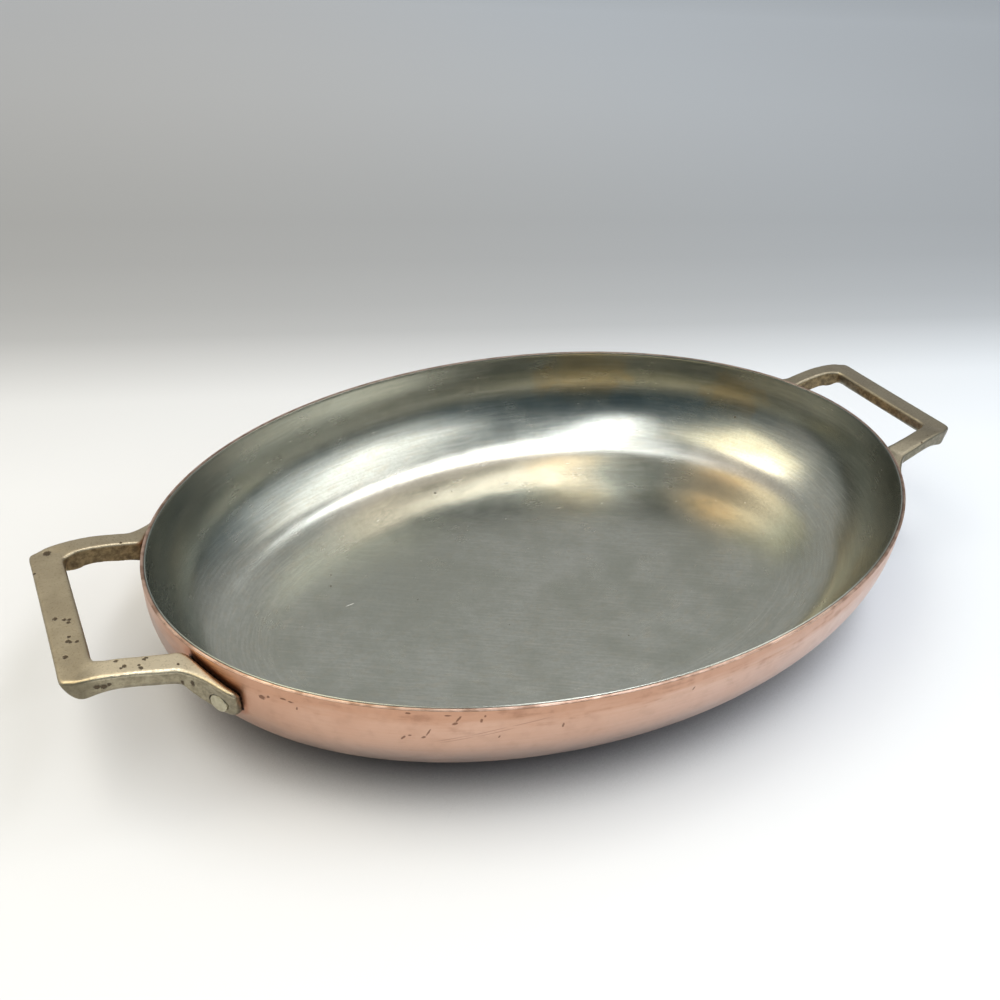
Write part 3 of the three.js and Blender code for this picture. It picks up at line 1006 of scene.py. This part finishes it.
# Reach and samples of the painted contact shadow under the pan
CONTACT_SHADOW_REACH = 0.030
CONTACT_SHADOW_SAMPLES = 8

WARM = (1.0, 0.87, 0.57)
WALL_WARM = (1.0, 0.93, 0.78)
NEUTRAL = (1.0, 1.0, 0.97)
SIDE_PALE = (1.0, 0.965, 0.905)
LAMPS = (
    # name, azimuth from +X, angle from overhead, distance, size, strength, colour, turn; angles in degrees
    ("warm box", 178, 30.5, 1.2, (1.05, 0.86), 2.1, WARM, -8),
    ("warm wall", 178, 35, 1.4, (2.0, 1.7), 0.32, WALL_WARM, 0),
    ("warm box core", 150, 22, 1.15, (0.42, 0.42), 1.7, NEUTRAL, 0),
    ("side box", -35, 46, 1.2, (0.95, 0.42), 2.6, SIDE_PALE, 35),
    ("side wall", -40, 63, 1.4, (1.2, 0.62), 0.95, NEUTRAL, 0),
)
STRIP_FROM = Vector((0.593, 0.33, 1.2))
STRIP_TO = Vector((-0.25, -1.25, 1.2))
STRIP_WIDTH = 0.175
STRIP_STRENGTH = 9.0

ROOM_PALE = 0.66
ROOM_DARK = 0.10
ROOM_COOL = (0.55, 0.95, 1.15)
ROOM_WARM = (1.0, 0.985, 0.94)
ROOM_SEEN = (0.47, 0.49, 0.505)
PALE_SIDE = (-0.1, 0.85, 0.52)  # toward the palest side of the room, high behind the pan


def floor_finish():
    """A flat pale floor, painted darker in a band behind the pan as the shade of a rising backdrop and
    paler further off to make up for the lamps' falloff, with a painted contact shadow close under the pan
    and painted light in front of it.
    """
    left_cast = (0.965, 0.99, 1.055)
    right_cast = (0.94, 1.015, 1.14)
    painted_contact_shadow = (0.04, 0.035, 0.035)
    finish = material("pale sweep")
    point = finish.node("ShaderNodeTexCoord", output="Object")
    back = finish.dot(point, BACKWARD)
    far = SWEEP_STOPS[-1][0]
    pale = finish.ramp(back / far, [(distance / far, level) for distance, level in SWEEP_STOPS])
    cast = finish.mix(finish.dot(point, SIDEWARD).smooth(-0.35, 0.5), left_cast, right_cast)
    # Painted light: the floor in front of the pan is painted a little paler
    front = back.smooth(-0.06, -0.2, 1.0, 1.04)
    colour = finish.scaled(finish.stretched(pale, cast), front)
    # Painted contact shadow: the floor's colour darkened by occlusion close under the pan
    openness = {"Distance": CONTACT_SHADOW_REACH}
    open_sky = finish.node("ShaderNodeAmbientOcclusion", {"samples": CONTACT_SHADOW_SAMPLES}, openness, "AO")
    colour = finish.mix(open_sky.smooth(0.0, 0.75, 0.87, 0.0), colour, painted_contact_shadow)
    return finish.surface(Base_Color=colour, Roughness=0.9, Specular_IOR_Level=0.1)


def floor():
    half = FLOOR_HALF
    corners = [(-half, -half, 0), (half, -half, 0), (half, half, 0), (-half, half, 0)]
    made = mesh_object("studio_floor", corners, [(0, 1, 2, 3)])
    made.data.materials.append(floor_finish())


def lamp(name, size, strength, colour, place, aim):
    """A soft rectangular lamp that the camera doesn't see; strength is its brightness, where 1 is white."""
    data = bpy.data.lights.new(name, "AREA")
    data.shape = "RECTANGLE"
    data.size, data.size_y = size
    data.energy = strength * math.pi * size[0] * size[1]
    data.color = colour
    made = link(name, data)
    made.location = place
    made.rotation_mode = "QUATERNION"
    made.rotation_quaternion = aim
    made.visible_camera = False


def lamp_round(name, azimuth, zenith, distance, size, strength, colour, turn):
    """A lamp that faces the pan from a direction and a distance, turned about its own axis, in degrees."""
    a, z = math.radians(azimuth), math.radians(zenith)
    direction = Vector((math.cos(a) * math.sin(z), math.sin(a) * math.sin(z), math.cos(z)))
    aim = direction.to_track_quat("Z", "Y") @ Matrix.Rotation(math.radians(turn), 3, "Z").to_quaternion()
    lamp(name, size, strength, colour, direction * distance, aim)


def long_strip():
    """A level strip lamp overhead, from STRIP_FROM to STRIP_TO."""
    way = STRIP_TO - STRIP_FROM
    aim = Matrix.Rotation(math.atan2(way.y, way.x), 3, "Z").to_quaternion()
    size = (way.length, STRIP_WIDTH)
    lamp("long strip", size, STRIP_STRENGTH, (1.0, 1.0, 1.0), (STRIP_FROM + STRIP_TO) / 2, aim)


def room():
    """Light from all round, darker toward one side, with a plain grey where the camera sees it."""
    world = bpy.data.worlds.new("studio")
    bpy.context.scene.world = world
    finish = Finish(world)
    toward = finish.dot(finish.node("ShaderNodeTexCoord", output="Generated"), PALE_SIDE)
    strength = toward.smooth(-0.6, 0.95, ROOM_DARK, ROOM_PALE)
    cast = finish.mix(toward.smooth(-0.65, 0.35), ROOM_COOL, ROOM_WARM)
    light = finish.node("ShaderNodeBackground", None, {"Color": cast, "Strength": strength})
    seen = finish.node("ShaderNodeBackground", None, {"Color": opaque(ROOM_SEEN), "Strength": 1.0})
    straight = finish.node("ShaderNodeLightPath", output="Is Camera Ray")
    both = finish.node("ShaderNodeMixShader", None, {0: straight, 1: light, 2: seen})
    finish.node("ShaderNodeOutputWorld", None, {"Surface": both})


floor()
for settings in LAMPS:
    lamp_round(*settings)
long_strip()
room()


# Camera, in metres and degrees

LENS = 35.2 * MM
SENSOR = 36.0 * MM
CAMERA_AZIMUTH = -34.75
CAMERA_ELEVATION = 33.97
CAMERA_DISTANCE = 0.4298
CAMERA_YAW = 3.844
CAMERA_PITCH = -1.184
CAMERA_ROLL = 4.369


def camera():
    """Stands off the middle of the rim, then turns a little aside, up and over, as the photograph does."""
    azimuth, elevation = math.radians(CAMERA_AZIMUTH), math.radians(CAMERA_ELEVATION)
    level = math.cos(elevation)
    back = Vector((math.sin(azimuth) * level, -math.cos(azimuth) * level, math.sin(elevation)))
    aim = back.to_track_quat("Z", "Y").to_matrix()
    upright = Vector((0, 0, 1))
    aim = Matrix.Rotation(math.radians(CAMERA_YAW), 3, upright) @ aim
    aim = Matrix.Rotation(math.radians(CAMERA_PITCH), 3, aim.col[0]) @ aim
    aim = Matrix.Rotation(math.radians(CAMERA_ROLL), 3, aim.col[2]) @ aim
    data = bpy.data.cameras.new("camera")
    data.lens = LENS / MM
    data.sensor_width = SENSOR / MM
    made = link("camera", data)
    place = Vector((0, 0, PAN_HEIGHT)) + back * CAMERA_DISTANCE
    made.matrix_world = Matrix.Translation(place) @ aim.to_4x4()
    bpy.context.scene.camera = made


camera()
bpy.context.scene.view_settings.view_transform = "Standard"
